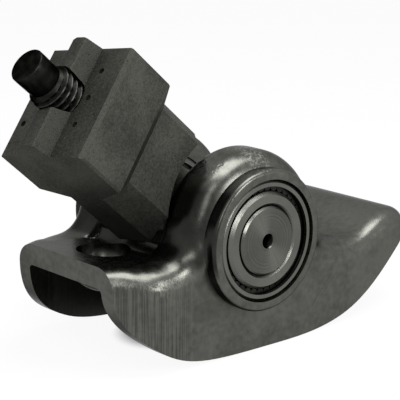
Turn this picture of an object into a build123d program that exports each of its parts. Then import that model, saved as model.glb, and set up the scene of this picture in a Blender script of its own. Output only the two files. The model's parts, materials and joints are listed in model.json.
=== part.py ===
"""Roller-trunnion rocker arm with its pedestal and bolt, lying on its keel.

Frame: millimetres, +Z up, +X from the pushrod end to the valve end, origin at the
middle of the trunnion axis, which runs along Y.
"""

from math import acos, asin, degrees, pi, sin
import os

from build123d import *

os.makedirs("parts", exist_ok=True)

# ---------------------------------------------------------------- driving dimensions
# pressed steel arm
WEB = 3.8  # thickness of the web
SHEET = 2.6  # thickness of the drawn side walls
ARM_HALF_WIDTH = 17.2  # mid-plane to the outside of a side wall at the bearings
TAIL_X = -29.4  # end face at the pushrod end
TAIL_INSET = 4.0  # how much the walls close in at the pushrod end, on each side
TAIL_FLARE_X = -22.6  # where the side walls become parallel
TAIL_FLARE_R = 6.0
NOSE_X = 43.2  # furthest point of the valve end
NOSE_INSET = 2.4  # the same at the valve end
NOSE_TAPER_X = 21.5  # where the side walls start to close in
NOSE_FRONT_R = 60.0  # bow of the nose in plan
NOSE_SETBACK = 1.6  # corners of the nose behind its furthest point
NOSE_CORNER_R = 5.5
BEND_R = 3.4  # outside radius of the bend between web and side wall
DECK_Z = -1.15  # top of the web at the pushrod end
DECK_FOOT_Z = -3.4  # top of the web's line below the trunnion
DIP_X = 23.5  # lowest point of the web behind the valve pad
DIP_Z = -5.2
PAD_X = 37.6  # crest of the valve pad
PAD_Z = -1.7
PAD_R = 8.0
HUMP_R = 15.2  # crest of the humps over the bearings, from the trunnion axis
HUMP_FOOT_R = 5.6  # hollow between a hump and the web
HUMP_SINK = 0.04  # depth in the web at which that hollow would end
HUMP_EDGE_R = 4.4  # rounding of a hump towards the outside of the arm
HUMP_SLOT_R = 2.4  # and towards the slot
KEEL_START_Z = -4.5  # end of the straight edge at the pushrod end
KEEL = [  # lower edge of the side walls, from pushrod end to valve end
    (-27.1, -11.6),
    (-23.6, -14.9),
    (-17.4, -18.3),
    (-9.0, -19.8),
    (2.0, -20.1),
    (13.4, -19.9),
    (21.7, -18.3),
    (28.4, -15.2),
    (33.8, -11.6),
]
KEEL_NOSE_Z = -4.5  # lower edge of the wall round the nose

# slot in the web, through which the pedestal reaches the trunnion
SLOT_HALF_WIDTH = 7.6
SLOT_TAIL_X = -15.3
SLOT_NOSE_X = 15.2
SLOT_CORNER_R = 4.0
LIP_RISE = 1.9  # web turned up at the pushrod end of the slot
LIP_R = 2.4
CHEEK = 2.8  # turned-down wall on each side of the slot
CHEEK_RIM = 2.4  # cheek below the bearing's bore

# pushrod socket
SOCKET_X = -20.9
SOCKET_Z = -2.3
SOCKET_R = 4.8  # ball seat, and the straight mouth above it
SOCKET_WALL = 1.9
SOCKET_OIL_R = 1.1

# trunnion bearings
COLLAR_R = 12.6
COLLAR_REACH = 2.3  # how far a collar stands out of the side wall
COLLAR_EDGE_R = 0.8
CUP_R = 10.85  # press fit in the collar's bore
CUP_WALL = 0.65
CUP_LENGTH = 11.9
CUP_LIP = 0.6  # how far a lip reaches in over the needles
CUP_CORNER = 0.6
CUP_RECESS = 0.3  # outer end of a cup below the collar's face
NEEDLE_R = 0.75
NEEDLE_END_GAP = 0.25  # along the trunnion, at each end of a needle
NEEDLE_SPACING = 0.05  # between neighbouring needles
ROLLING_GAP = 0.025  # radial play on each side of a needle
RACE_RECESS = 0.3  # outer end of an inner race below the collar's face
RACE_CHAMFER = 0.55

# trunnion
JOURNAL_R = 6.1
BARREL_R = 8.0
BARREL_HALF_LENGTH = 6.9
TRUNNION_RECESS = 0.1  # end of the trunnion below the collar's face
TRUNNION_CHAMFER = 0.35
FLAT_DISTANCE = 5.5  # trunnion axis to the pedestal's seat and to the bolt's seat
CENTRE_DRILL_R = 1.35

# pedestal and bolt
LEAN = -48.2  # rest angle of the bolt from upright, about the trunnion axis
TWIST = 10.0  # rest angle of the pedestal about the bolt
PEDESTAL_TOP = 38.6  # trunnion axis to the face that stands on the head
BLOCK_LENGTH = 21.5  # across the trunnion
BLOCK_WIDTH = 20.0  # along the trunnion
BLOCK_HEIGHT = 10.5
BLOCK_CORNER = 0.4
BLOCK_BEVEL = 0.7  # along the top edges beside the ridges
BLOCK_OFFSET = (-0.6, -0.9)  # middle of the block from the bolt's axis
STEM_WIDTH = 16.2
STEM_CORNER = (3.5, 4.3)  # chamfers on the stem's corners, across and along the trunnion
LEDGE_DROP = 2.4  # slope from the block in to the stem
RIDGE = [  # cross-section of the locating ridges: along the trunnion, above the top
    (4.6, 0.0),
    (1.2, 2.8),
    (-0.2, 3.4),
    (-2.3, 3.4),
    (-3.5, 0.0),
]
RIDGE_ROUND = 0.7
PITS = [(5.6, -5.8), (0.3, -5.7), (-5.0, -5.6), (-4.9, 7.0)]  # ejector marks in the top
PIT_R = 0.55
PIT_DEPTH = 0.9
SADDLE_R = 16.4
BOSS_R = 5.6
PEDESTAL_BORE_R = 4.4
BOLT_R = 3.95
BOLT_GAP = 0.06
BOLT_TIP = 48.5
DOG_R = 3.2
DOG_LENGTH = 5.0
DOG_CHAMFER = 0.35
HEX_ACROSS_FLATS = 10.0
FLANGE_R = 6.6
FLANGE_THICKNESS = 1.8
HEAD_HEIGHT = 9.2

# ---------------------------------------------------------------- derived sizes
COLLAR_Y = ARM_HALF_WIDTH + COLLAR_REACH
FAR = 60.0  # well clear of the arm, for cutters
LIP_RUN = LIP_R * sin(acos(1 - LIP_RISE / LIP_R))
LIP_FOOT = (SLOT_TAIL_X - LIP_RUN, DECK_FOOT_Z + (DECK_Z - DECK_FOOT_Z) * (SLOT_TAIL_X - LIP_RUN) / TAIL_X)
NEEDLE_PITCH_R = CUP_R - CUP_WALL - ROLLING_GAP - NEEDLE_R
RACE_R = NEEDLE_PITCH_R - NEEDLE_R - ROLLING_GAP
NEEDLE_COUNT = int(2 * pi * NEEDLE_PITCH_R / (2 * NEEDLE_R + NEEDLE_SPACING))
CUP_OUTER_Y = COLLAR_Y - CUP_RECESS
CUP_INNER_Y = CUP_OUTER_Y - CUP_LENGTH
NEEDLE_LENGTH = CUP_LENGTH - 2 * CUP_WALL - 2 * NEEDLE_END_GAP
TRUNNION_HALF_LENGTH = COLLAR_Y - TRUNNION_RECESS
BOLT_BORE_R = BOLT_R + BOLT_GAP
BOLT_AXIS = Vector(0, 0, 1).rotate(Axis.Y, LEAN)
BOLT_FRAME = Plane((0, 0, 0), x_dir=Vector(1, 0, 0).rotate(Axis.Y, LEAN), z_dir=BOLT_AXIS)
PEDESTAL_FRAME = Plane(
    (0, 0, 0), x_dir=BOLT_FRAME.x_dir.rotate(Axis((0, 0, 0), BOLT_AXIS), TWIST), z_dir=BOLT_AXIS
)

# ---------------------------------------------------------------- rocker arm


def plan_outline(inset):
    """Plan of the arm, offset inwards by inset, carried straight on past the tail."""
    flare = TAIL_INSET / (TAIL_FLARE_X - TAIL_X)
    tail_x = TAIL_X - 15
    tail_y = ARM_HALF_WIDTH - TAIL_INSET - 15 * flare
    run = NOSE_X - NOSE_SETBACK - NOSE_TAPER_X
    taper_r = (run**2 + NOSE_INSET**2) / (2 * NOSE_INSET)
    with BuildSketch(Plane.XY) as plan:
        with BuildLine():
            tail = Line((tail_x, 0), (tail_x, tail_y))
            corners = [(tail_x, tail_y), (TAIL_FLARE_X, ARM_HALF_WIDTH), (NOSE_TAPER_X, ARM_HALF_WIDTH)]
            side = FilletPolyline(*corners, radius=TAIL_FLARE_R)
            taper = JernArc(side @ 1, (1, 0), taper_r, -degrees(asin(run / taper_r)))
            bow = RadiusArc(taper @ 1, (NOSE_X, 0), NOSE_FRONT_R)
            Line(bow @ 1, tail @ 0)
        make_face()
        fillet(plan.vertices().sort_by(Axis.X)[-2], NOSE_CORNER_R)
        mirror(about=Plane.XZ)
        if inset:
            offset(amount=-inset, kind=Kind.INTERSECTION, mode=Mode.REPLACE)
    return plan.sketch


def web_profile(with_humps, depth=0.0):
    """Everything under the top of the web, or under a line that deep in it, seen along the trunnion."""
    with BuildSketch(Plane.XZ) as profile:
        with BuildLine():
            start = (TAIL_X - 15, DECK_Z - depth)
            deck = Polyline((TAIL_X - 15, -FAR), start, (TAIL_X, DECK_Z - depth), (0, DECK_FOOT_Z - depth))
            ramp = Line(deck @ 1, (DIP_X, DIP_Z - depth))
            pad = Spline(ramp @ 1, (PAD_X, PAD_Z - depth), tangents=[ramp % 1, (1, 0)])
            tip = JernArc(pad @ 1, (1, 0), PAD_R - depth, -90)
            Polyline(tip @ 1, (tip @ 1 + Vector(0, -FAR)), deck @ 0)
        make_face()
        if with_humps:
            Circle(HUMP_R)
            feet = profile.vertices().filter_by(lambda v: abs(Vector(v.X, v.Y).length - HUMP_R) < 0.01)
            fillet(feet, HUMP_FOOT_R)
    return profile.sketch


def side_outline():
    """Side view of the arm above its lower edge."""
    with BuildSketch(Plane.XZ) as side:
        with BuildLine():
            end = Line((TAIL_X, FAR), (TAIL_X, KEEL_START_Z))
            keel = Spline(end @ 1, *KEEL, (NOSE_X + 1, KEEL_NOSE_Z))
            Polyline(keel @ 1, (NOSE_X + 1, FAR), end @ 0)
        make_face()
    return side.sketch


def outer_edges(faces):
    """Edges that only one of these faces has."""
    edges = faces.edges()
    return edges.filter_by(
        lambda edge: sum(edge.is_same(other) for face in faces for other in face.edges()) == 1
    )


# the space inside the channel, one sheet in from its outside
with BuildPart() as channel:
    with BuildSketch(Plane.XZ):
        add(web_profile(with_humps=False, depth=WEB))
    extrude(amount=FAR, both=True)
    with BuildSketch(Plane.XY):
        add(plan_outline(SHEET))
    extrude(amount=FAR, both=True, mode=Mode.INTERSECT)
    roof = channel.faces().filter_by(lambda face: face.normal_at().Z > 0.1)
    fillet(outer_edges(roof), BEND_R - SHEET)


# one hump with its feet, rounded across its width, down to the lower edge
with BuildPart() as hump:
    with BuildSketch(Plane.XZ.offset(-ARM_HALF_WIDTH)):
        add(web_profile(with_humps=True, depth=HUMP_SINK))
    extrude(amount=ARM_HALF_WIDTH - SLOT_HALF_WIDTH)
    crown = hump.faces().filter_by(lambda face: face.normal_at().Z > 0.1)
    rims = outer_edges(crown).filter_by(lambda e: abs((e @ 0).Y - (e @ 1).Y) < 0.01)
    fillet(rims.group_by(Axis.Y)[-1], HUMP_EDGE_R)
    crown = hump.faces().filter_by(lambda face: face.normal_at().Z > 0.1)
    rims = outer_edges(crown).filter_by(lambda e: abs((e @ 0).Y - (e @ 1).Y) < 0.01)
    fillet(rims.group_by(Axis.Y)[0], HUMP_SLOT_R)
    with BuildSketch(Plane.XZ):
        Rectangle(2 * (HUMP_R + HUMP_FOOT_R), 2 * FAR)
    extrude(amount=FAR, both=True, mode=Mode.INTERSECT)

with BuildPart() as rocker_arm:
    # outside of the drawn channel
    with BuildSketch(Plane.XZ):
        add(web_profile(with_humps=False))
    extrude(amount=FAR, both=True)
    with BuildSketch(Plane.XY):
        add(plan_outline(0))
    extrude(amount=FAR, both=True, mode=Mode.INTERSECT)
    roof = rocker_arm.faces().filter_by(lambda face: face.normal_at().Z > 0.1)
    fillet(outer_edges(roof), BEND_R)
    # humps
    add(hump.part)
    add(mirror(hump.part, about=Plane.XZ, mode=Mode.PRIVATE))
    # web turned up between them at the slot's end
    with BuildSketch(Plane.XZ):
        with BuildLine():
            lip_turn = degrees(acos(1 - LIP_RISE / LIP_R))
            lip = JernArc(LIP_FOOT, (1, (DECK_FOOT_Z - DECK_Z) / -TAIL_X), LIP_R, lip_turn)
            middle_z = DECK_FOOT_Z - WEB / 2
            Polyline(lip @ 1, (0, (lip @ 1).Y), (0, middle_z), (LIP_FOOT[0], middle_z), LIP_FOOT)
        make_face()
    extrude(amount=SLOT_HALF_WIDTH + HUMP_EDGE_R, both=True)
    # inside of the channel, running up into each hump round its bearing
    add(channel.part, mode=Mode.SUBTRACT)
    with BuildSketch(Plane.XZ):
        Circle(HUMP_R - SHEET)
    extrude(amount=ARM_HALF_WIDTH - SHEET, both=True, mode=Mode.SUBTRACT)
    # cheeks
    with BuildSketch(Plane.XZ) as cheek:
        Circle(HUMP_R - SHEET)
        Circle(CUP_R + CHEEK_RIM)
    extrude(amount=SLOT_HALF_WIDTH + CHEEK, both=True)
    with BuildSketch(Plane.XY):
        with Locations(((SLOT_TAIL_X + SLOT_NOSE_X) / 2, 0)):
            RectangleRounded(SLOT_NOSE_X - SLOT_TAIL_X, 2 * SLOT_HALF_WIDTH, SLOT_CORNER_R)
    extrude(amount=FAR, both=True, mode=Mode.SUBTRACT)
    # collars and bearing bores
    with BuildSketch(Plane.XZ.offset(ARM_HALF_WIDTH - SHEET)):
        Circle(COLLAR_R)
    extrude(amount=SHEET + COLLAR_REACH)
    with BuildSketch(Plane.XZ.offset(-(ARM_HALF_WIDTH - SHEET))):
        Circle(COLLAR_R)
    extrude(amount=-(SHEET + COLLAR_REACH))
    circles = rocker_arm.edges().filter_by(GeomType.CIRCLE)
    rims = circles.filter_by(lambda edge: abs(abs(edge.center().Y) - COLLAR_Y) < 0.01)
    fillet(rims, COLLAR_EDGE_R)
    with BuildSketch(Plane.XZ):
        Circle(CUP_R)
    extrude(amount=FAR, both=True, mode=Mode.SUBTRACT)
    # pushrod socket, a ball seat with a bulge under the web
    with BuildSketch(Plane.XZ):
        with Locations((SOCKET_X, SOCKET_Z)):
            Circle(SOCKET_R + SOCKET_WALL)
            Rectangle(2 * FAR, 2 * FAR, align=(Align.CENTER, Align.MIN), mode=Mode.SUBTRACT)
            Rectangle(FAR, 2 * FAR, align=(Align.MAX, Align.CENTER), mode=Mode.SUBTRACT)
    revolve(axis=Axis((SOCKET_X, 0, 0), (0, 0, 1)))
    with Locations((SOCKET_X, 0, SOCKET_Z)):
        Sphere(SOCKET_R, mode=Mode.SUBTRACT)
        Cylinder(SOCKET_R, FAR, align=(Align.CENTER, Align.CENTER, Align.MIN), mode=Mode.SUBTRACT)
        Cylinder(SOCKET_OIL_R, 2 * FAR, mode=Mode.SUBTRACT)
    # lower edge
    with BuildSketch(Plane.XZ):
        add(side_outline())
    extrude(amount=FAR, both=True, mode=Mode.INTERSECT)

rocker_arm.part.label = "rocker_arm"
export_step(rocker_arm.part, "parts/rocker_arm.step")

# ---------------------------------------------------------------- bearings, one at each end
for end, side in (("near", -1), ("far", 1)):
    inner = Plane.XZ.offset(-side * CUP_INNER_Y)

    # drawn cup with a lip over each end of the needles
    with BuildPart() as cup:
        with BuildSketch(inner):
            Circle(CUP_R)
            Circle(CUP_R - CUP_WALL - CUP_LIP, mode=Mode.SUBTRACT)
        extrude(amount=-side * CUP_LENGTH)
        with BuildSketch(inner.offset(-side * CUP_WALL)):
            Circle(CUP_R - CUP_WALL)
        extrude(amount=-side * (CUP_LENGTH - 2 * CUP_WALL), mode=Mode.SUBTRACT)
        outside = cup.edges().filter_by(GeomType.CIRCLE).filter_by(lambda e: abs(e.radius - CUP_R) < 0.01)
        chamfer(outside, CUP_CORNER)
    cup.part.label = f"{end}_bearing_cup"
    export_step(cup.part, f"parts/{end}_bearing_cup.step")

    # full complement of needles
    with BuildPart() as needles:
        with BuildSketch(inner.offset(-side * (CUP_WALL + NEEDLE_END_GAP))):
            with PolarLocations(NEEDLE_PITCH_R, NEEDLE_COUNT):
                Circle(NEEDLE_R)
        extrude(amount=-side * NEEDLE_LENGTH)
    needles.part.label = f"{end}_needles"
    export_step(needles.part, f"parts/{end}_needles.step")

    # inner race, pressed on the journal against the barrel's shoulder
    with BuildPart() as race:
        with BuildSketch(Plane.XZ.offset(-side * BARREL_HALF_LENGTH)):
            Circle(RACE_R)
            Circle(JOURNAL_R, mode=Mode.SUBTRACT)
        extrude(amount=-side * (COLLAR_Y - RACE_RECESS - BARREL_HALF_LENGTH))
        outer_end = race.faces().sort_by(Axis.Y)[-1 if side > 0 else 0]
        chamfer(outer_end.edges(), RACE_CHAMFER)
    race.part.label = f"{end}_inner_race"
    export_step(race.part, f"parts/{end}_inner_race.step")

# ---------------------------------------------------------------- trunnion
with BuildPart() as trunnion:
    with BuildSketch(Plane.XZ):
        Circle(JOURNAL_R)
    extrude(amount=TRUNNION_HALF_LENGTH, both=True)
    chamfer(trunnion.faces().filter_by(Axis.Y).edges(), TRUNNION_CHAMFER)
    with BuildSketch(Plane.XZ):
        Circle(BARREL_R)
    extrude(amount=BARREL_HALF_LENGTH, both=True)
    # seats for the pedestal and for the bolt's head
    with BuildSketch(BOLT_FRAME.offset(-FLAT_DISTANCE)):
        Rectangle(2 * BARREL_R, 2 * BARREL_HALF_LENGTH)
    extrude(amount=-BARREL_R, mode=Mode.SUBTRACT)
    with BuildSketch(BOLT_FRAME.offset(FLAT_DISTANCE)):
        Rectangle(2 * BARREL_R, 2 * BARREL_HALF_LENGTH)
    extrude(amount=BARREL_R, mode=Mode.SUBTRACT)
    with BuildSketch(BOLT_FRAME):
        Circle(BOLT_BORE_R)
    extrude(amount=BARREL_R, both=True, mode=Mode.SUBTRACT)
    # centre drillings
    for face in (trunnion.faces().sort_by(Axis.Y)[0], trunnion.faces().sort_by(Axis.Y)[-1]):
        with Locations(Plane(face.center(), z_dir=face.normal_at(face.center()))):
            CounterSinkHole(
                CENTRE_DRILL_R / 2, CENTRE_DRILL_R, depth=2 * CENTRE_DRILL_R, counter_sink_angle=60
            )
trunnion.part.label = "trunnion"
export_step(trunnion.part, "parts/trunnion.step")

# ---------------------------------------------------------------- pedestal


def pedestal_outline(height, width, corner):
    """Cross-section of the pedestal at a height, its corners cut off by corner."""
    along, across = BLOCK_LENGTH / 2, width / 2
    quarter = [(along, across - corner[1]), (along - corner[0], across)]
    with BuildSketch(PEDESTAL_FRAME.offset(height)) as outline:
        with BuildLine():
            points = quarter + [(-u, v) for u, v in quarter[::-1]]
            points += [(-u, -v) for u, v in points]
            Polyline(*[(u + BLOCK_OFFSET[0], v + BLOCK_OFFSET[1]) for u, v in points], close=True)
        make_face()
    return outline.sketch


LEDGE_TOP = PEDESTAL_TOP - BLOCK_HEIGHT
LEDGE_FOOT = LEDGE_TOP - LEDGE_DROP
with BuildPart() as pedestal:
    # stem, hollowed to clear the humps, and block
    extrude(pedestal_outline(0, STEM_WIDTH, STEM_CORNER), amount=LEDGE_FOOT)
    with BuildSketch(Plane((0, 0, 0), x_dir=PEDESTAL_FRAME.x_dir, z_dir=PEDESTAL_FRAME.y_dir)):
        Circle(SADDLE_R)
    extrude(amount=FAR, both=True, mode=Mode.SUBTRACT)
    ledge_foot = pedestal_outline(LEDGE_FOOT, STEM_WIDTH, STEM_CORNER)
    ledge_top = pedestal_outline(LEDGE_TOP, BLOCK_WIDTH, (BLOCK_CORNER, BLOCK_CORNER))
    loft([ledge_foot, ledge_top], ruled=True)
    extrude(ledge_top, amount=BLOCK_HEIGHT)
    top = pedestal.faces().sort_by(Axis((0, 0, 0), BOLT_AXIS))[-1]
    chamfer(top.edges().group_by(SortBy.LENGTH)[-1], BLOCK_BEVEL)
    # boss that seats on the trunnion's flat
    with BuildSketch(PEDESTAL_FRAME.offset(FLAT_DISTANCE)):
        Circle(BOSS_R)
    extrude(amount=LEDGE_FOOT - FLAT_DISTANCE)
    # locating ridges, one on each side of the bolt
    with BuildSketch(Plane((0, 0, 0), x_dir=PEDESTAL_FRAME.y_dir, z_dir=PEDESTAL_FRAME.x_dir)) as ridge:
        with BuildLine():
            section = [(v, PEDESTAL_TOP + w) for v, w in RIDGE]
            feet = [(v, PEDESTAL_TOP - BLOCK_BEVEL) for v, w in (RIDGE[-1], RIDGE[0])]
            Polyline(*section, *feet, close=True)
        make_face()
        fillet(ridge.vertices().filter_by(lambda v: v.Y > PEDESTAL_TOP + BLOCK_BEVEL), RIDGE_ROUND)
    extrude(amount=BLOCK_OFFSET[0] + BLOCK_LENGTH / 2)
    extrude(ridge.sketch, amount=BLOCK_OFFSET[0] - BLOCK_LENGTH / 2)
    with BuildSketch(PEDESTAL_FRAME):
        Circle(PEDESTAL_BORE_R)
    extrude(amount=FAR, mode=Mode.SUBTRACT)
    with BuildSketch(PEDESTAL_FRAME.offset(PEDESTAL_TOP - PIT_DEPTH)):
        with Locations(*PITS):
            Circle(PIT_R)
    extrude(amount=PIT_DEPTH, mode=Mode.SUBTRACT)
pedestal.part.label = "pedestal"
export_step(pedestal.part, "parts/pedestal.step")

# ---------------------------------------------------------------- bolt
with BuildPart() as bolt:
    with BuildSketch(BOLT_FRAME.offset(-FLAT_DISTANCE)):
        Circle(FLANGE_R)
    extrude(amount=-FLANGE_THICKNESS)
    with BuildSketch(BOLT_FRAME.offset(-FLAT_DISTANCE)):
        RegularPolygon(HEX_ACROSS_FLATS / 2, 6, major_radius=False)
    extrude(amount=-HEAD_HEIGHT)
    with BuildSketch(BOLT_FRAME.offset(-FLAT_DISTANCE)):
        Circle(BOLT_R)
    extrude(amount=FLAT_DISTANCE + BOLT_TIP - DOG_LENGTH)
    end_face = bolt.faces().sort_by(Axis((0, 0, 0), BOLT_AXIS))[-1]
    chamfer(end_face.edges(), BOLT_R - DOG_R)
    with BuildSketch(BOLT_FRAME):
        Circle(DOG_R)
    extrude(amount=BOLT_TIP)
    tip_face = bolt.faces().sort_by(Axis((0, 0, 0), BOLT_AXIS))[-1]
    chamfer(tip_face.edges(), DOG_CHAMFER)
bolt.part.label = "bolt"
export_step(bolt.part, "parts/bolt.step")
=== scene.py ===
import json
from math import cos, pi, radians, sin

import bmesh
import bpy
from mathutils import Matrix, Vector
from mathutils.bvhtree import BVHTree


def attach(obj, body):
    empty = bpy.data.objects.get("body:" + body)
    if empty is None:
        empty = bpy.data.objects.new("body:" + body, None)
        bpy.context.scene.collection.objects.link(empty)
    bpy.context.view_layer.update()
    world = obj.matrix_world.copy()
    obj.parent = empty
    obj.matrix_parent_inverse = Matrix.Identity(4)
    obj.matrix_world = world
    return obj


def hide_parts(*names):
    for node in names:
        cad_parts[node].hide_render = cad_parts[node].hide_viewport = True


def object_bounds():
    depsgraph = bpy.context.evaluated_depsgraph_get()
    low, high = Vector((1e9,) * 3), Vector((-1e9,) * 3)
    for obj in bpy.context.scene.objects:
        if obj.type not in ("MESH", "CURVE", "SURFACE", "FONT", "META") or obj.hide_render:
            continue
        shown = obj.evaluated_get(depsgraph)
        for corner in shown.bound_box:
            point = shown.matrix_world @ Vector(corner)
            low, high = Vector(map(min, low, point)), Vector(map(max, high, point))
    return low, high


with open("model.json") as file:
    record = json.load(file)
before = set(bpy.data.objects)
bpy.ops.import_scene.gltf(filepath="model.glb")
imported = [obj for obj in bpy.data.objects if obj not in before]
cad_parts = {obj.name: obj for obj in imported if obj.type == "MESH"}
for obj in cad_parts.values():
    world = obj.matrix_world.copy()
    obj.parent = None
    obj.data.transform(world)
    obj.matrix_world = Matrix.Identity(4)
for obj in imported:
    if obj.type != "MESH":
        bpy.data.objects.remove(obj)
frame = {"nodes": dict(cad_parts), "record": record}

MM = 0.001
cad_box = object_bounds()

# ---------------------------------------------------------------- sizes, in millimetres, as in the CAD model
BOLT_R = 3.95
THREAD_PITCH = 1.25
THREAD_DEPTH = 0.72
THREAD_START = 26.0  # the thread below this is hidden in the pedestal
THREAD_LAND = 0.82  # share of the pitch that the thread's flanks take up
POINT_FOOT = 43.5  # where the plain point leaves the thread
POINT_R = 3.2
POINT_ROUNDING = 0.35
BOLT_TIP = 48.5
FLAT_DISTANCE = 5.5  # trunnion axis to the flat under the bolt's head
FLANGE_R = 6.6
FLANGE_THICKNESS = 1.8
HEX_ACROSS_FLATS = 10.0
HEX_ACROSS_CORNERS = 1.1547 * HEX_ACROSS_FLATS
HEAD_HEIGHT = 9.2
DRILL_R = 1.35  # the trunnion's centre drilling
PAINTED_SHEEN_LINE = (0.45, -0.89)  # x and z of the line along which a highlight is painted on the turned ends

BOLT_POINTS = 72  # points in one ring of the bolt
THREAD_STEPS = 14  # rings in one turn of the thread

BLENDS = [  # where a bend runs into a hump: middle and half sizes, the same on both sides of the arm
    ((-18.6, 14.4, -1.3), (9.2, 7.2, 6.6)),
    ((19.5, 14.4, -2.5), (8.5, 7.0, 6.4)),
]
BLEND_EDGE = 0.6  # longest edge of a face in a blend
GUIDE_FACE = 0.4  # size of a face of the smoothed guide
GUIDE_STAGES = (0.02, 0.3, 0.6, 0.9)  # each stage smooths where the blend is at least this strong
GUIDE_PASSES = 24  # in each stage

FOOTPRINT = (9, 24, 14)  # middle along X, half length and half width of the dark place under the part
FLOOR_SIZE = 3000.0

bolt_mount = next(m for m in frame["record"]["mounts"] if m["name"] == "bolt_point")
bolt_axis = Vector(bolt_mount["axis"]).normalized()
across = Vector((0, 1, 0)).cross(bolt_axis)
bolt_frame = Matrix((across, (0, 1, 0), bolt_axis)).transposed().to_4x4()


# ---------------------------------------------------------------- shader maths
class Value:
    """A node's output socket, with the operators that the finishes use."""

    def __init__(self, finish, socket):
        self.finish = finish
        self.socket = socket

    def math(self, operation, *operands):
        return self.finish.node("ShaderNodeMath", {"operation": operation}, *operands)

    def __add__(self, other):
        return self.math("ADD", self, other)

    __radd__ = __add__

    def __mul__(self, other):
        return self.math("MULTIPLY", self, other)

    __rmul__ = __mul__

    def __sub__(self, other):
        return self.math("SUBTRACT", self, other)

    def __rsub__(self, other):
        return self.math("SUBTRACT", other, self)

    def __truediv__(self, other):
        return self.math("DIVIDE", self, other)

    def __abs__(self):
        return self.math("ABSOLUTE", self)

    def root(self):
        return self.math("SQRT", self)

    def above(self, low, high):
        """0 below low and 1 above high, smooth between; swapped ends turn it round."""
        settings = {"interpolation_type": "SMOOTHSTEP"}
        if low < high:
            return self.finish.node("ShaderNodeMapRange", settings, self, low, high, 0.0, 1.0)
        return self.finish.node("ShaderNodeMapRange", settings, self, high, low, 1.0, 0.0)


class Finish:
    """One material, made of nodes round a Principled shader."""

    def __init__(self, name):
        self.material = bpy.data.materials.new(name)
        self.material.use_nodes = True
        self.tree = self.material.node_tree
        self.shader = self.tree.nodes["Principled BSDF"]
        self.place = self.node("ShaderNodeTexCoord", {}, output="Object")

    def node(self, kind, settings, *values, output=0, **named):
        """Adds a node, sets it up, feeds its sockets and returns one of its outputs."""
        node = self.tree.nodes.new(kind)
        for key, setting in settings.items():
            setattr(node, key, setting)
        for key, value in [*enumerate(values), *named.items()]:
            socket = node.inputs[key.replace("_", " ") if isinstance(key, str) else key]
            self.feed(socket, value)
        return Value(self, node.outputs[output])

    def feed(self, socket, value):
        if isinstance(value, Value):
            self.tree.links.new(value.socket, socket)
        elif value is not None:
            socket.default_value = value

    def blend(self, factor, low, high):
        """From colour low to colour high."""
        node = self.tree.nodes.new("ShaderNodeMix")
        node.data_type = "RGBA"
        self.feed(node.inputs["Factor"], factor)
        self.feed(node.inputs["A"], low)
        self.feed(node.inputs["B"], high)
        return Value(self, node.outputs["Result"])

    def larger(self, first, second):
        return self.node("ShaderNodeMath", {"operation": "MAXIMUM"}, first, second)

    def noise(self, size, detail=3.0, roughness=0.5, stretch=(1, 1, 1)):
        """Noise whose patches are about size millimetres across, longer where stretch is more than 1."""
        scale = [1 / (size * MM * s) for s in stretch]
        place = self.node("ShaderNodeVectorMath", {"operation": "MULTIPLY"}, self.place, scale)
        looks = {"Scale": 1.0, "Detail": detail, "Roughness": roughness}
        return self.node("ShaderNodeTexNoise", {}, Vector=place, **looks)

    def lines(self, along, detail):
        """Noise along one value only, one patch for each 1."""
        settings = {"noise_dimensions": "1D"}
        return self.node("ShaderNodeTexNoise", settings, W=along, Scale=1.0, Detail=detail)

    def bump(self, height, depth):
        """depth is what a height of 1 stands for, in millimetres."""
        return self.node("ShaderNodeBump", {}, Strength=1.0, Distance=depth * MM, Height=height)

    def facing(self):
        return self.node("ShaderNodeTexCoord", {}, output="Normal")

    def millimetres(self):
        """Object coordinates, in millimetres."""
        divide = {"operation": "DIVIDE"}
        return self.split(self.node("ShaderNodeVectorMath", divide, self.place, (MM, MM, MM)))

    def split(self, vector):
        node = self.tree.nodes.new("ShaderNodeSeparateXYZ")
        self.feed(node.inputs[0], vector)
        return [Value(self, socket) for socket in node.outputs]

    def done(self, edge=0.5, **sockets):
        """edge is how much a metal still brightens where it is seen at a grazing angle."""
        self.shader.inputs["Specular Tint"].default_value = grey(edge, 0)
        for key, value in sockets.items():
            self.feed(self.shader.inputs[key.replace("_", " ")], value)
        return self.material


def grey(level, warm=1.0):
    """A steel grey with a slightly olive cast, in linear light."""
    return (level * (1 - 0.02 * warm), level, level * (1 - 0.11 * warm), 1)


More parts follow.
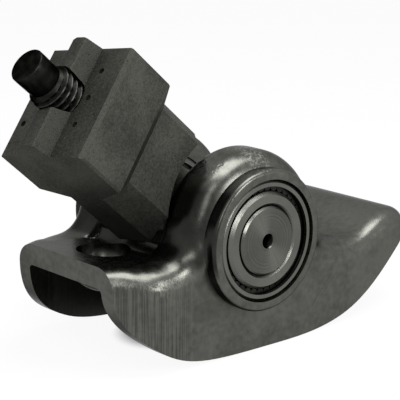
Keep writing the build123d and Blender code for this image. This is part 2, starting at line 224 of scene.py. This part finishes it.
# ---------------------------------------------------------------- finishes
def drawn_steel():
    """The arm: drawn, tumbled sheet steel, satin on its walls and glossy where it was bent."""
    finish = Finish("drawn_steel")
    x, y, z = finish.millimetres()
    nx, ny, nz = finish.split(finish.facing())
    clouds = finish.noise(8, detail=4)
    mottle = finish.noise(1.1, detail=4)
    grain = finish.noise(0.16, detail=2)

    # grinding marks run down the walls at the pushrod end and fade towards the bearings
    ground = abs(ny).above(0.7, 0.86) * x.above(-13, -22)
    marks = finish.noise(0.16, detail=4, stretch=(1, 1, 80))
    # the colour grows lighter towards the nose
    tone = clouds * 0.42 + mottle * 0.42 + 0.08 + x.above(12, 36) * 0.12
    tone = tone + ground * (marks.above(0.38, 0.66) - 0.5) * 0.4
    colour = finish.blend(tone.above(0.25, 0.72), grey(0.06), grey(0.118))

    # painted shade: darker in the hollow between the web and the humps
    hollow_shade = x.above(-7, -13) * x.above(-27, -22) * z.above(-6, -3.5) * z.above(9, 2)
    hollow_shade = hollow_shade * (abs(ny) + (clouds - 0.5)).above(0.95, 0.45)
    colour = finish.blend(hollow_shade * 0.22, colour, grey(0.03))
    # painted shade and dark reflection, darker still up the flanks of the humps that face the pushrod
    flank_shade = (0 - nx).above(0.15, 0.5) * z.above(-6, -2) * z.above(13, 9)
    flank_shade = flank_shade * x.above(-2, -6) * x.above(-25, -21)
    colour = finish.blend(flank_shade * (clouds + 0.5) * 0.88, colour, grey(0.018))

    # painted shade: the inside of the channel, its inner walls and the web's underside, is painted dark
    below_web = z.above(-2, -4.5)
    inner_walls = (y * ny).above(-0.5, -3) * below_web
    inside = finish.larger(inner_walls, (0 - nz).above(0.3, 0.7) * below_web)
    colour = finish.blend(inside * 0.85, colour, grey(0.012))

    # a darker patch left by handling, and a long thin scratch
    patch = disc(finish, x, z, (-12.2, -10.6), (3.4, 2.1)) * abs(y).above(15, 16)
    colour = finish.blend(patch * 0.35, colour, grey(0.05))
    scratch = streak(x, z, (12.8, -15.6), (18.6, -9.4), 0.1) * (0 - y).above(15, 16)
    colour = finish.blend(scratch * 0.6, colour, grey(0.03))

    # painted highlight: bright speckles where the light glints on the crests of the humps; small dents there
    # are bumped in
    crest_glints = finish.noise(0.5, detail=1).above(0.45, 0.62) * z.above(11.8, 13) * abs(x - 0.6).above(3.2, 1)
    colour = finish.blend(crest_glints * 0.6, colour, grey(0.3))
    crest = z.above(11.5, 13.5) * finish.noise(3.2, detail=1).above(0.52, 0.6)
    dents = crest * finish.noise(0.9, detail=1).above(0.35, 0.65)

    wall = abs(ny).above(0.93, 0.99)
    rough = 0.27 + wall * 0.14 + (mottle - 0.5) * 0.16 + (clouds - 0.5) * 0.12
    height = ground * marks * 0.9 + mottle * 0.8 + grain * 0.2 - scratch * 1.2 - dents * 2.2
    return finish.done(Base_Color=colour, Metallic=1.0, Roughness=rough, Normal=finish.bump(height, 0.018))


def disc(finish, x, z, middle, radii):
    """1 inside an oval on the side walls, soft at its edge."""
    across = (x - middle[0]) / radii[0]
    along = (z - middle[1]) / radii[1]
    edge = finish.noise(1.6, detail=3)
    return ((across * across + along * along).root() + (edge - 0.5) * 0.5).above(1.1, 0.8)


def streak(x, z, start, end, width):
    """1 along a straight scratch on the side walls."""
    run, rise = end[0] - start[0], end[1] - start[1]
    length = (run * run + rise * rise) ** 0.5
    along = ((x - start[0]) * run + (z - start[1]) * rise) / length
    aside = abs((x - start[0]) * -rise + (z - start[1]) * run) / length
    return aside.above(width, width * 0.4) * along.above(0, 1) * along.above(length, length - 1)


def turned_steel(name, level, spacing, rough, painted_sheen=0.0):
    """Turned rings round the trunnion's axis; sheen is the strength of a highlight painted along a line
    across the turned ends.
    """
    finish = Finish(name)
    x, y, z = finish.millimetres()
    radius = (x * x + z * z).root()
    rings = finish.lines(radius / spacing, 2.0)
    clouds = finish.noise(4, detail=3)
    grain = finish.noise(0.25, detail=3)
    tone = rings * 0.5 + clouds * 0.3 + grain * 0.2
    colour = finish.blend(tone.above(0.3, 0.7), grey(level * 0.8), grey(level * 1.2))
    # painted highlight: a sheen painted into the colour along a line across the turned ends
    across = (x * PAINTED_SHEEN_LINE[1] - z * PAINTED_SHEEN_LINE[0]) / radius
    painted_glint = abs(across).above(0.8, 0.05) * (finish.lines(across * 7, 3.0) * 0.9 + 0.3)
    colour = finish.blend(painted_glint * painted_sheen, colour, grey(level * 2.2))
    # painted shade: the centre drilling is painted black inside, as it lies in shade
    colour = finish.blend(radius.above(DRILL_R, DRILL_R - 0.15), colour, grey(0.008))
    roughness = rough + (clouds - 0.5) * 0.15
    normal = finish.bump(rings + grain * 0.5, 0.012)
    return finish.done(Base_Color=colour, Metallic=1.0, Roughness=roughness, Normal=normal)


def needle_steel():
    """The needles, painted dark for the shade they sit in between the cup's lip and the race."""
    finish = Finish("needle_steel")
    colour = finish.blend(finish.noise(2, detail=2), grey(0.012), grey(0.035))
    return finish.done(Base_Color=colour, Metallic=1.0, Roughness=0.28)


def sintered_steel():
    """The pedestal: pressed from powder, matte and finely pitted."""
    finish = Finish("sintered_steel")
    clouds = finish.noise(7, detail=4)
    grain = finish.noise(0.5, detail=5, roughness=0.75)
    pores = finish.noise(0.42, detail=2).above(0.66, 0.74)
    tone = clouds * 0.4 + grain * 0.6
    colour = finish.blend(tone.above(0.3, 0.7), grey(0.03, 1.3), grey(0.082, 1.3))
    colour = finish.blend(pores * 0.5, colour, grey(0.02))
    # painted shade: sloping faces beside the top are painted dark, as they lie in shade
    dot = {"operation": "DOT_PRODUCT"}
    rise = finish.node("ShaderNodeVectorMath", dot, finish.facing(), tuple(bolt_axis), output=1)
    slope_shade = rise.above(0.15, 0.35) * rise.above(0.97, 0.9)
    colour = finish.blend(slope_shade * (clouds * 0.4 + 0.35), colour, grey(0.012))
    roughness = 0.56 + (grain - 0.5) * 0.25
    normal = finish.bump(grain - pores * 1.2 + clouds, 0.04)
    return finish.done(Base_Color=colour, Metallic=1.0, Roughness=roughness, Normal=normal)


def black_steel():
    """The bolt: black oxide, worn brighter on the crests of its thread."""
    finish = Finish("black_steel")
    clouds = finish.noise(1.5, detail=4)
    cross = {"operation": "CROSS_PRODUCT"}
    x, y, z = finish.split(finish.node("ShaderNodeVectorMath", cross, finish.place, tuple(bolt_axis)))
    radius = (x * x + y * y + z * z).root() / MM
    worn = radius.above(BOLT_R - 0.16, BOLT_R - 0.03) * radius.above(BOLT_R + 0.3, BOLT_R + 0.1)
    worn = worn * clouds.above(0.25, 0.6)
    colour = finish.blend(clouds.above(0.35, 0.75), grey(0.009), grey(0.017))
    colour = finish.blend(worn * 0.8, colour, grey(0.06))
    roughness = 0.26 + clouds * 0.2
    normal = finish.bump(clouds, 0.03)
    return finish.done(edge=0.3, Base_Color=colour, Metallic=1.0, Roughness=roughness, Normal=normal)


# ---------------------------------------------------------------- pieces
def piece(name, mesh, node, body, material):
    """Adds a mesh that stands for a CAD node."""
    obj = bpy.data.objects.new(name, mesh)
    bpy.context.scene.collection.objects.link(obj)
    obj.data.materials.clear()
    obj.data.materials.append(material)
    for polygon in obj.data.polygons:
        polygon.material_index = 0
    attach(obj, body)
    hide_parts(node)
    return obj


def shade_smooth(work, sharp_angle):
    """Smooth all over, apart from edges sharper than an angle."""
    for face in work.faces:
        face.smooth = True
    for edge in work.edges:
        edge.smooth = edge.is_manifold and edge.calc_face_angle(0) < radians(sharp_angle)


def finished(work, mesh):
    work.to_mesh(mesh)
    work.free()
    return mesh


def smooth_copy(node):
    """A node's own shape with its facets joined and shaded smooth, apart from its sharp edges."""
    mesh = frame["nodes"][node].data.copy()
    work = bmesh.new()
    work.from_mesh(mesh)
    bmesh.ops.remove_doubles(work, verts=work.verts, dist=0.002 * MM)
    shade_smooth(work, 32)
    return finished(work, mesh)


def flowing_copy(node):
    """The arm with its bends flowing into its humps, as drawn sheet does, with no crease between them."""
    guide = flow_guide(frame["nodes"][node].data)
    mesh = smooth_copy(node)
    work = bmesh.new()
    work.from_mesh(mesh)
    for _ in range(3):
        long_edges = [e for e in work.edges if e.calc_length() > BLEND_EDGE * MM and edge_flow(e) > 0]
        bmesh.ops.subdivide_edges(work, edges=long_edges, cuts=1)
    bmesh.ops.triangulate(work, faces=[face for face in work.faces if len(face.verts) > 4])
    for vert in work.verts:
        share = flow_at(vert.co)
        if share > 0:
            vert.co = vert.co.lerp(guide.find_nearest(vert.co)[0], share)
    for face in work.faces:
        face.smooth = True
    for edge in work.edges:
        if edge_flow(edge) > 0.05 and edge.calc_face_angle(0) < radians(60):
            edge.smooth = True
    return finished(work, mesh)


def flow_guide(source):
    """A smoothed skin of the arm to pull its blends to."""
    block = bpy.data.objects.new("arm_block", source.copy())
    bpy.context.scene.collection.objects.link(block)
    remesh = block.modifiers.new("even_faces", "REMESH")
    remesh.mode = "VOXEL"
    remesh.voxel_size = GUIDE_FACE * MM
    mesh = bpy.data.meshes.new_from_object(block.evaluated_get(bpy.context.evaluated_depsgraph_get()))
    bpy.data.objects.remove(block)
    work = bmesh.new()
    work.from_mesh(mesh)
    bpy.data.meshes.remove(mesh)
    every_way = {"use_axis_x": True, "use_axis_y": True, "use_axis_z": True}
    for share in GUIDE_STAGES:
        flowing = [vert for vert in work.verts if flow_at(vert.co) >= share]
        for _ in range(GUIDE_PASSES):
            bmesh.ops.smooth_vert(work, verts=flowing, factor=0.5, **every_way)
    guide = BVHTree.FromBMesh(work)
    work.free()
    return guide


def flow_at(place):
    """From 0 where the arm keeps its shape to 1 in the middle of a blend."""
    x, y, z = place / MM
    best = 0.0
    for middle, size in BLENDS:
        parts = [(value - m) / s for value, m, s in zip((x, abs(y), z), middle, size)]
        reach = sum(part**2 for part in parts)
        best = max(best, min(1.0, (1 - reach) * 1.6))
    return best * best * (3 - 2 * best)


def edge_flow(edge):
    return max(flow_at(vert.co) for vert in edge.verts)


def ring_of(work, radius, height):
    """Points round the bolt's axis; radius is a number, or a function of the angle."""
    ring = []
    for i in range(BOLT_POINTS):
        angle = 2 * pi * i / BOLT_POINTS
        reach = (radius(angle) if callable(radius) else radius) * MM
        ring.append(work.verts.new((reach * cos(angle), reach * sin(angle), height * MM)))
    return ring


def join_rings(work, rings):
    """Skins a stack of rings and closes both of its ends."""
    for low, high in zip(rings, rings[1:]):
        for i in range(len(low)):
            j = (i + 1) % len(low)
            work.faces.new((low[i], low[j], high[j], high[i]))
    work.faces.new(rings[0][::-1])
    work.faces.new(rings[-1])


def thread_radius(angle, height):
    """Radius of the rolled thread, running out into the chamfer below the point."""
    turn = (height / THREAD_PITCH - angle / (2 * pi)) % 1.0
    crest = min(abs(turn - 0.5) * 2 / THREAD_LAND, 1.0)  # 0 at the root and 1 over the flat of the crest
    radius = BOLT_R - THREAD_DEPTH + THREAD_DEPTH * crest
    return min(radius, POINT_R + max(POINT_FOOT - height, 0.0))


def screw_rings(work):
    """Shank, thread and plain point, from the bottom up."""
    rings = [ring_of(work, BOLT_R * 0.9, -FLAT_DISTANCE), ring_of(work, BOLT_R * 0.96, THREAD_START)]
    steps = int((POINT_FOOT - THREAD_START) / THREAD_PITCH * THREAD_STEPS)
    for k in range(1, steps + 1):
        height = THREAD_START + (POINT_FOOT - THREAD_START) * k / steps
        rings.append(ring_of(work, lambda a: thread_radius(a, height), height))
    neck = ((POINT_R - 0.12, POINT_FOOT + 0.1), (POINT_R - 0.05, POINT_FOOT + 0.5), (POINT_R, BOLT_TIP - 1.0))
    rings += [ring_of(work, radius, height) for radius, height in neck]
    for k in range(1, 7):
        turn = k / 6 * pi / 2
        height = BOLT_TIP - POINT_ROUNDING + POINT_ROUNDING * sin(turn)
        rings.append(ring_of(work, POINT_R - POINT_ROUNDING * (1 - cos(turn)), height))
    return [*rings, ring_of(work, 0.6, BOLT_TIP)]


def hexagon(angle):
    return HEX_ACROSS_FLATS / 2 / cos((angle + pi / 6) % (pi / 3) - pi / 6)


def head_rings(work):
    """Flange and chamfered hexagon, from the top down."""
    seat = -FLAT_DISTANCE
    end = seat - HEAD_HEIGHT
    flange = ((FLANGE_R - 0.3, 0), (FLANGE_R, 0.3), (FLANGE_R, 0.9), (FLANGE_R - 1.0, 1.5))
    rings = [ring_of(work, radius, seat - drop) for radius, drop in flange]
    rings += [ring_of(work, hexagon, height) for height in (seat - FLANGE_THICKNESS, end + 0.9)]
    for k in range(1, 5):
        limit = (HEX_ACROSS_CORNERS + (HEX_ACROSS_FLATS - HEX_ACROSS_CORNERS) * k / 4) / 2
        rings.append(ring_of(work, lambda a: min(hexagon(a), limit), end + 0.9 - 0.225 * k))
    return [*rings, ring_of(work, HEX_ACROSS_FLATS / 2 - 0.7, end)]


def bolt_mesh():
    """Bolt along its own axis, with a real thread, then leaned into place."""
    work = bmesh.new()
    join_rings(work, screw_rings(work))
    join_rings(work, head_rings(work)[::-1])
    bmesh.ops.recalc_face_normals(work, faces=work.faces)
    shade_smooth(work, 35)
    bmesh.ops.transform(work, matrix=bolt_frame, verts=work.verts)
    return finished(work, bpy.data.meshes.new("bolt_threaded"))


finishes = {
    "rocker_arm": (drawn_steel(), "arm", "arm_steel"),
    "near_bearing_cup": (turned_steel("cup_steel", 0.125, 0.12, 0.34), "arm", "cup_steel"),
    "near_needles": (needle_steel(), "near_rollers", "needle_steel"),
    "near_inner_race": (turned_steel("race_steel", 0.12, 0.08, 0.34, painted_sheen=0.2), "shaft", "race_steel"),
    "trunnion": (turned_steel("trunnion_steel", 0.086, 0.3, 0.26, painted_sheen=0.6), "shaft", "trunnion_steel"),
    "pedestal": (sintered_steel(), "stand", "sintered_steel"),
}
for node, (material, body, slot) in list(finishes.items()):
    if node.startswith("near_"):
        finishes[node.replace("near_", "far_")] = (material, body.replace("near_", "far_"), slot)
for node, (material, body, slot) in finishes.items():
    mesh = flowing_copy(node) if node == "rocker_arm" else smooth_copy(node)
    piece(f"{node}_skin", mesh, node, body, material)
piece("bolt_threaded", bolt_mesh(), "bolt", "screw", black_steel())


# ---------------------------------------------------------------- floor, light and camera
def backdrop_white(name, share):
    """White by share to the camera and in reflections; the rest is the floor's own shade and shadow."""
    finish = Finish(name)
    tree = finish.tree
    rays = tree.nodes.new("ShaderNodeLightPath")
    camera, glossy, transmission = (
        Value(finish, rays.outputs[f"Is {kind} Ray"]) for kind in ("Camera", "Glossy", "Transmission")
    )
    white = finish.larger(finish.larger(camera, glossy), transmission)
    glow = tree.nodes.new("ShaderNodeEmission")
    glow.inputs["Color"].default_value = (1, 1, 1, 1)
    mix = tree.nodes.new("ShaderNodeMixShader")
    # under the part the floor is left to its own shading, so that its hollows stay dark
    x, y, z = finish.millimetres()
    x, y = (x - FOOTPRINT[0]) / FOOTPRINT[1], y / FOOTPRINT[2]
    clear = (x * x + y * y).root().above(0.85, 1.1)
    finish.feed(mix.inputs[0], white * clear * share)
    finish.shader.inputs["Base Color"].default_value = (0.9, 0.9, 0.9, 1)
    finish.shader.inputs["Roughness"].default_value = 0.9
    finish.shader.inputs["Specular IOR Level"].default_value = 0.0
    tree.links.new(finish.shader.outputs[0], mix.inputs[1])
    tree.links.new(glow.outputs[0], mix.inputs[2])
    tree.links.new(mix.outputs[0], tree.nodes["Material Output"].inputs["Surface"])
    return finish.material


lowest = cad_box[0][2]
half = FLOOR_SIZE / 2 * MM
corners = [(x, y, lowest) for x, y in ((-half, -half), (half, -half), (half, half), (-half, half))]
floor_mesh = bpy.data.meshes.new("floor")
floor_mesh.from_pydata(corners, [], [(0, 1, 2, 3)])
floor = bpy.data.objects.new("floor", floor_mesh)
bpy.context.scene.collection.objects.link(floor)
floor.data.materials.append(backdrop_white("pale_floor", 0.93))


def area_light(name, position, width, height, power):
    """A soft box that faces the trunnion, with its place and size in millimetres."""
    light = bpy.data.lights.new(name, "AREA")
    light.shape = "RECTANGLE"
    light.size = width * MM
    light.size_y = height * MM
    light.energy = power
    obj = bpy.data.objects.new(name, light)
    bpy.context.scene.collection.objects.link(obj)
    obj.location = Vector(position) * MM
    obj.rotation_euler = (-obj.location).to_track_quat("-Z", "Y").to_euler()


area_light("overhead", (40, -60, 330), 220, 220, 1.1)
area_light("front", (90, -310, 150), 110, 110, 0.45)
area_light("left", (-150, -200, 180), 70, 190, 0.5)

world = bpy.data.worlds.new("studio")
bpy.context.scene.world = world
world.use_nodes = True
sky = world.node_tree
background = sky.nodes["Background"]
background.inputs["Color"].default_value = (1, 1, 1, 1)
rays = sky.nodes.new("ShaderNodeLightPath")
strength = rays.outputs["Is Camera Ray"]
for kind in ("Is Glossy Ray", "Is Transmission Ray"):
    either = sky.nodes.new("ShaderNodeMath")
    either.operation = "MAXIMUM"
    sky.links.new(strength, either.inputs[0])
    sky.links.new(rays.outputs[kind], either.inputs[1])
    strength = either.outputs[0]
level = sky.nodes.new("ShaderNodeMath")
level.operation = "MAXIMUM"
sky.links.new(strength, level.inputs[0])
level.inputs[1].default_value = 0.4
sky.links.new(level.outputs[0], background.inputs["Strength"])

# ---------------------------------------------------------------- camera
AZIMUTH, ELEVATION = radians(-41.26), radians(14.29)
IMAGE_WIDTH = 400
FOCAL_PIXELS = 1600.9
SENSOR = 36.0
DISTANCE = 290.61  # to the trunnion's middle, along the view
TRUNNION_PIXEL = (194.37, 219.33)  # where the trunnion's middle falls

back = Vector((sin(AZIMUTH) * cos(ELEVATION), -cos(AZIMUTH) * cos(ELEVATION), sin(ELEVATION)))
right = Vector((cos(AZIMUTH), sin(AZIMUTH), 0))
up = back.cross(right)
offset = [(pixel - IMAGE_WIDTH / 2) / FOCAL_PIXELS * DISTANCE for pixel in TRUNNION_PIXEL]
camera_data = bpy.data.cameras.new("camera")
camera_data.lens = FOCAL_PIXELS / IMAGE_WIDTH * SENSOR
camera_data.sensor_width = SENSOR
camera_data.clip_start = 0.01
camera = bpy.data.objects.new("camera", camera_data)
bpy.context.scene.collection.objects.link(camera)
camera.matrix_world = Matrix((right, up, back)).transposed().to_4x4()
camera.location = (back * DISTANCE - right * offset[0] + up * offset[1]) * MM
bpy.context.scene.camera = camera

bpy.context.scene.view_settings.view_transform = "Standard"
